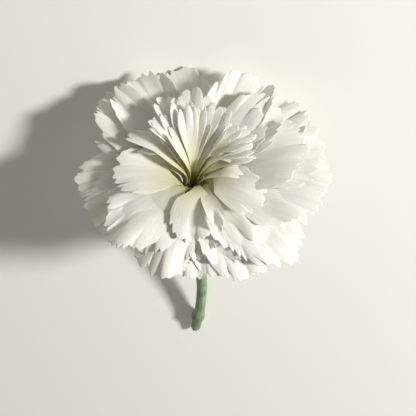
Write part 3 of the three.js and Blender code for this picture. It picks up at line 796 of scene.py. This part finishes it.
def petal_material():
    """White petal tissue: air between clear cells scatters light, and some of it passes through.

    It gives the eye soft, slightly creamy shade, a green-yellow claw, and fine veins that fan out.
    """
    material = new_material("carnation_petal_tissue")
    place = add_node(material, "ShaderNodeUVMap", uv_map="tissue_map")
    parts = add_node(material, "ShaderNodeSeparateXYZ", {"Vector": place.outputs["UV"]})
    fanned = add_node(material, "ShaderNodeMapping", {
        "Vector": place.outputs["UV"], "Scale": (VEINS_ACROSS, VEINS_ALONG, 1.0)})
    veins = add_node(material, "ShaderNodeTexNoise", {
        "Vector": fanned.outputs["Vector"], "Scale": 1.0, "Detail": 3.0, "Roughness": 0.55})
    place_in_scene = add_node(material, "ShaderNodeTexCoord")
    crumple = add_node(material, "ShaderNodeTexNoise", {
        "Vector": place_in_scene.outputs["Object"], "Scale": 1 / CRUMPLE_SIZE, "Detail": 2.0})
    height = add_node(material, "ShaderNodeMath", {
        0: veins.outputs["Fac"], 1: crumple.outputs["Fac"]}, operation="ADD")
    tint = add_node(material, "ShaderNodeValToRGB", {"Fac": parts.outputs["Y"]})
    ramp = tint.color_ramp
    ramp.elements[0].position = 0.0
    ramp.elements[0].color = linear("B3B272")
    ramp.elements[1].position = 0.48
    ramp.elements[1].color = linear("F6F5EF")
    for position, colour in ((0.12, "CFCB94"), (0.27, "EBE9D2")):
        ramp.elements.new(position).color = linear(colour)
    vein_tone = add_node(material, "ShaderNodeValToRGB", {"Fac": veins.outputs["Fac"]})
    vein_tone.color_ramp.elements[0].position = 0.3
    vein_tone.color_ramp.elements[0].color = linear("F4F3EC")
    vein_tone.color_ramp.elements[1].position = 0.6
    vein_tone.color_ramp.elements[1].color = linear("FFFFFF")
    coloured = add_node(material, "ShaderNodeMix", data_type="RGBA", blend_type="MULTIPLY")
    coloured.inputs["Factor"].default_value = 1.0
    material.node_tree.links.new(tint.outputs["Color"], coloured.inputs["A"])
    material.node_tree.links.new(vein_tone.outputs["Color"], coloured.inputs["B"])
    bump = add_node(material, "ShaderNodeBump", {
        "Height": height.outputs["Value"], "Strength": 0.4, "Distance": 0.0003})
    shader = add_node(material, "ShaderNodeBsdfPrincipled", {
        "Base Color": coloured.outputs["Result"], "Roughness": 0.55, "IOR": 1.4,
        "Subsurface Weight": 0.3, "Subsurface Radius": (1.0, 0.9, 0.6),
        "Subsurface Scale": SCATTER_DEPTH, "Normal": bump.outputs["Normal"]})
    add_node(material, "ShaderNodeOutputMaterial", {"Surface": shader.outputs["BSDF"]})
    return material


petal_tissue = petal_material()
for petal in petal_objects:
    petal.data.materials.append(petal_tissue)
print(petal_tissue.name, "on", len(petal_objects), "petals")

# %% [markdown]
# ## Green tissue
#
# Calyx, bracts and stem have a skin of long cells under a thin bloom of pale wax. The same nodes
# serve them all with other colours: streaks along the piece, and broader patches where the wax
# is thicker. The cut end and the pistil are soft tissue without wax, so they are paler.

# %% Green tissue
# single cells are far too fine to see, so each streak stands for a bundle about 0.7 mm wide
STREAKS_ALONG = 5.0  # over MAP_LENGTH: a streak is about 10 mm long
PATCHES_PER_METRE = 180.0  # patches of wax about 6 mm across
SKIN_SCATTER_DEPTH = 0.0006  # metres


def green_material(name, shade, colour, bloom, roughness, streaks):
    """Waxy green tissue with a number of streaks round the piece, under a pale bloom of wax.

    It gives the eye a dull blue-green that turns paler in patches, with soft highlights.
    """
    material = new_material(name)
    place = add_node(material, "ShaderNodeUVMap", uv_map="tissue_map")
    drawn_out = add_node(material, "ShaderNodeMapping", {
        "Vector": place.outputs["UV"], "Scale": (streaks, STREAKS_ALONG, 1.0)})
    fibres = add_node(material, "ShaderNodeTexNoise", {
        "Vector": drawn_out.outputs["Vector"], "Scale": 1.0, "Detail": 4.0, "Roughness": 0.6})
    coords = add_node(material, "ShaderNodeTexCoord")
    patches = add_node(material, "ShaderNodeTexNoise", {
        "Vector": coords.outputs["Object"], "Scale": PATCHES_PER_METRE, "Detail": 3.0})
    mixed = add_node(material, "ShaderNodeMath", {
        0: fibres.outputs["Fac"], 1: patches.outputs["Fac"]}, operation="MULTIPLY")
    ramp = add_node(material, "ShaderNodeValToRGB", {"Fac": mixed.outputs["Value"]})
    ramp.color_ramp.elements[0].position = 0.12
    ramp.color_ramp.elements[0].color = linear(shade)
    ramp.color_ramp.elements[1].position = 0.42
    ramp.color_ramp.elements[1].color = linear(bloom)
    ramp.color_ramp.elements.new(0.25).color = linear(colour)
    bump = add_node(material, "ShaderNodeBump", {
        "Height": fibres.outputs["Fac"], "Strength": 0.5, "Distance": 0.0002})
    shader = add_node(material, "ShaderNodeBsdfPrincipled", {
        "Base Color": ramp.outputs["Color"], "Roughness": roughness, "IOR": 1.45,
        "Subsurface Weight": 0.1, "Subsurface Radius": (0.6, 1.0, 0.3),
        "Subsurface Scale": SKIN_SCATTER_DEPTH, "Normal": bump.outputs["Normal"]})
    add_node(material, "ShaderNodeOutputMaterial", {"Surface": shader.outputs["BSDF"]})
    return material


calyx.data.materials.append(green_material(
    "waxy_calyx_tissue", "7F9868", "9AAF80", "BAC7A6", 0.5, 60.0))
bract_tissue = green_material("dry_tipped_bract_tissue", "74905C", "8FA673", "B9C3A0", 0.6, 30.0)
for bract in bracts:
    bract.data.materials.append(bract_tissue)
stem.data.materials.append(green_material(
    "bloomed_stem_skin", "67855E", "87A07A", "B0BFA8", 0.5, 24.0))
stem.data.materials.append(green_material(
    "fresh_cut_pith", "A9B27E", "C9D0A4", "E4E6CC", 0.6, 24.0))
for face in stem.data.polygons[:len(CUT_FACE) * AROUND_COLUMNS]:
    face.material_index = 1  # the cut face shows the pale pith inside the skin
pistil.data.materials.append(green_material(
    "soft_pistil_tissue", "B9BD8A", "D6D8AE", "ECEBD2", 0.45, 20.0))
print("materials on the stem:", [m.name for m in stem.data.materials])

# %% [markdown]
# ## Floor
#
# The flower lies on pale matt paper. One large plane is enough, because the camera's own view never
# reaches its edge. It lies a fraction of a millimetre low, so that it shares no surface with a piece.

# %% Floor
FLOOR_SIZE, FLOOR_DROP = 4, 0.0002  # metres
bpy.ops.mesh.primitive_plane_add(size=FLOOR_SIZE, location=(0, 0, -FLOOR_DROP))
floor = bpy.context.object
floor.name = "table_top"
pale = new_material("pale_paper_sweep")
pale_shader = add_node(pale, "ShaderNodeBsdfPrincipled", {
    "Base Color": linear("FAF9F6"), "Roughness": 0.9})
add_node(pale, "ShaderNodeOutputMaterial", {"Surface": pale_shader.outputs["BSDF"]})
floor.data.materials.append(pale)
print("floor", FLOOR_SIZE, "m wide")

# %% [markdown]
# ## Camera
#
# The camera looks down on the face of the flower from above its front. It is turned so that the
# stem points down the picture, where only its end shows past the petals. Its place could be typed
# in, but it is worked out from the lean of the flower, the angle to its axis, and the distance.

# %% Camera
VIEW_ANGLE = 42.0  # between the flower's axis and the line of sight, towards the side turned up
DISTANCE = 0.38  # metres
FRAME_WIDTH = 0.163  # metres across the picture at the throat
SENSOR_WIDTH = 36  # millimetres
LEFT_OF_MIDDLE, ABOVE_MIDDLE = 0.0057, 0.0063  # where the throat stands in the frame, in metres
angle = lean + math.radians(VIEW_ANGLE)
towards = Vector((0, -math.cos(angle), math.sin(angle)))
camera_up = Vector((0, -math.sin(angle), -math.cos(angle)))
camera_right = Vector((-1, 0, 0))
camera = bpy.data.objects.new("camera", bpy.data.cameras.new("camera"))
bpy.context.scene.collection.objects.link(camera)
camera.data.sensor_width = SENSOR_WIDTH
camera.data.lens = SENSOR_WIDTH * DISTANCE / FRAME_WIDTH
aim = Vector(throat) + camera_right * LEFT_OF_MIDDLE - camera_up * ABOVE_MIDDLE
camera.location = aim + towards * DISTANCE
camera.rotation_euler = Matrix((camera_right, camera_up, towards)).transposed().to_euler()
camera.data.clip_start = 0.01
bpy.context.scene.camera = camera
print("lens", round(camera.data.lens, 1), "mm, elevation", round(math.degrees(angle), 1), "degrees")

# %% [markdown]
# ## Light
#
# A window to one side gives the flower its shape, and the pale room fills the shadows. One disk
# lamp stands for the window, large enough to soften the shadows between the petals. An even
# background stands for the room, a little warm, and takes the place of several weaker lamps.

# %% Light
def area_light(name, direction, distance, size, energy, colour):
    """A round lamp that shines on the throat from a direction."""
    lamp = bpy.data.lights.new(name, "AREA")
    lamp.shape = "DISK"
    lamp.size = size
    lamp.energy = energy
    lamp.color = colour
    made = bpy.data.objects.new(name, lamp)
    bpy.context.scene.collection.objects.link(made)
    made.location = Vector(throat) + Vector(direction).normalized() * distance
    made.rotation_euler = Vector(direction).to_track_quat("Z", "Y").to_euler()
    return made


KEY_DIRECTION = (-0.8, -0.25, 0.545)
KEY_DISTANCE, KEY_SIZE, KEY_POWER = 1.2, 0.2, 15.8  # metres, metres and watts
KEY_COLOUR = (1.0, 0.985, 0.95)
ROOM_COLOUR, ROOM_STRENGTH = (1.0, 0.97, 0.89, 1), 0.24
key = area_light("key", KEY_DIRECTION, KEY_DISTANCE, KEY_SIZE, KEY_POWER, KEY_COLOUR)
world = bpy.data.worlds.new("studio")
bpy.context.scene.world = world
world.use_nodes = True
background = world.node_tree.nodes["Background"]
background.inputs["Color"].default_value = ROOM_COLOUR
background.inputs["Strength"].default_value = ROOM_STRENGTH
bpy.context.scene.view_settings.view_transform = "Standard"
print("the key lamp stands", round(key.location.z, 2), "m above the table")
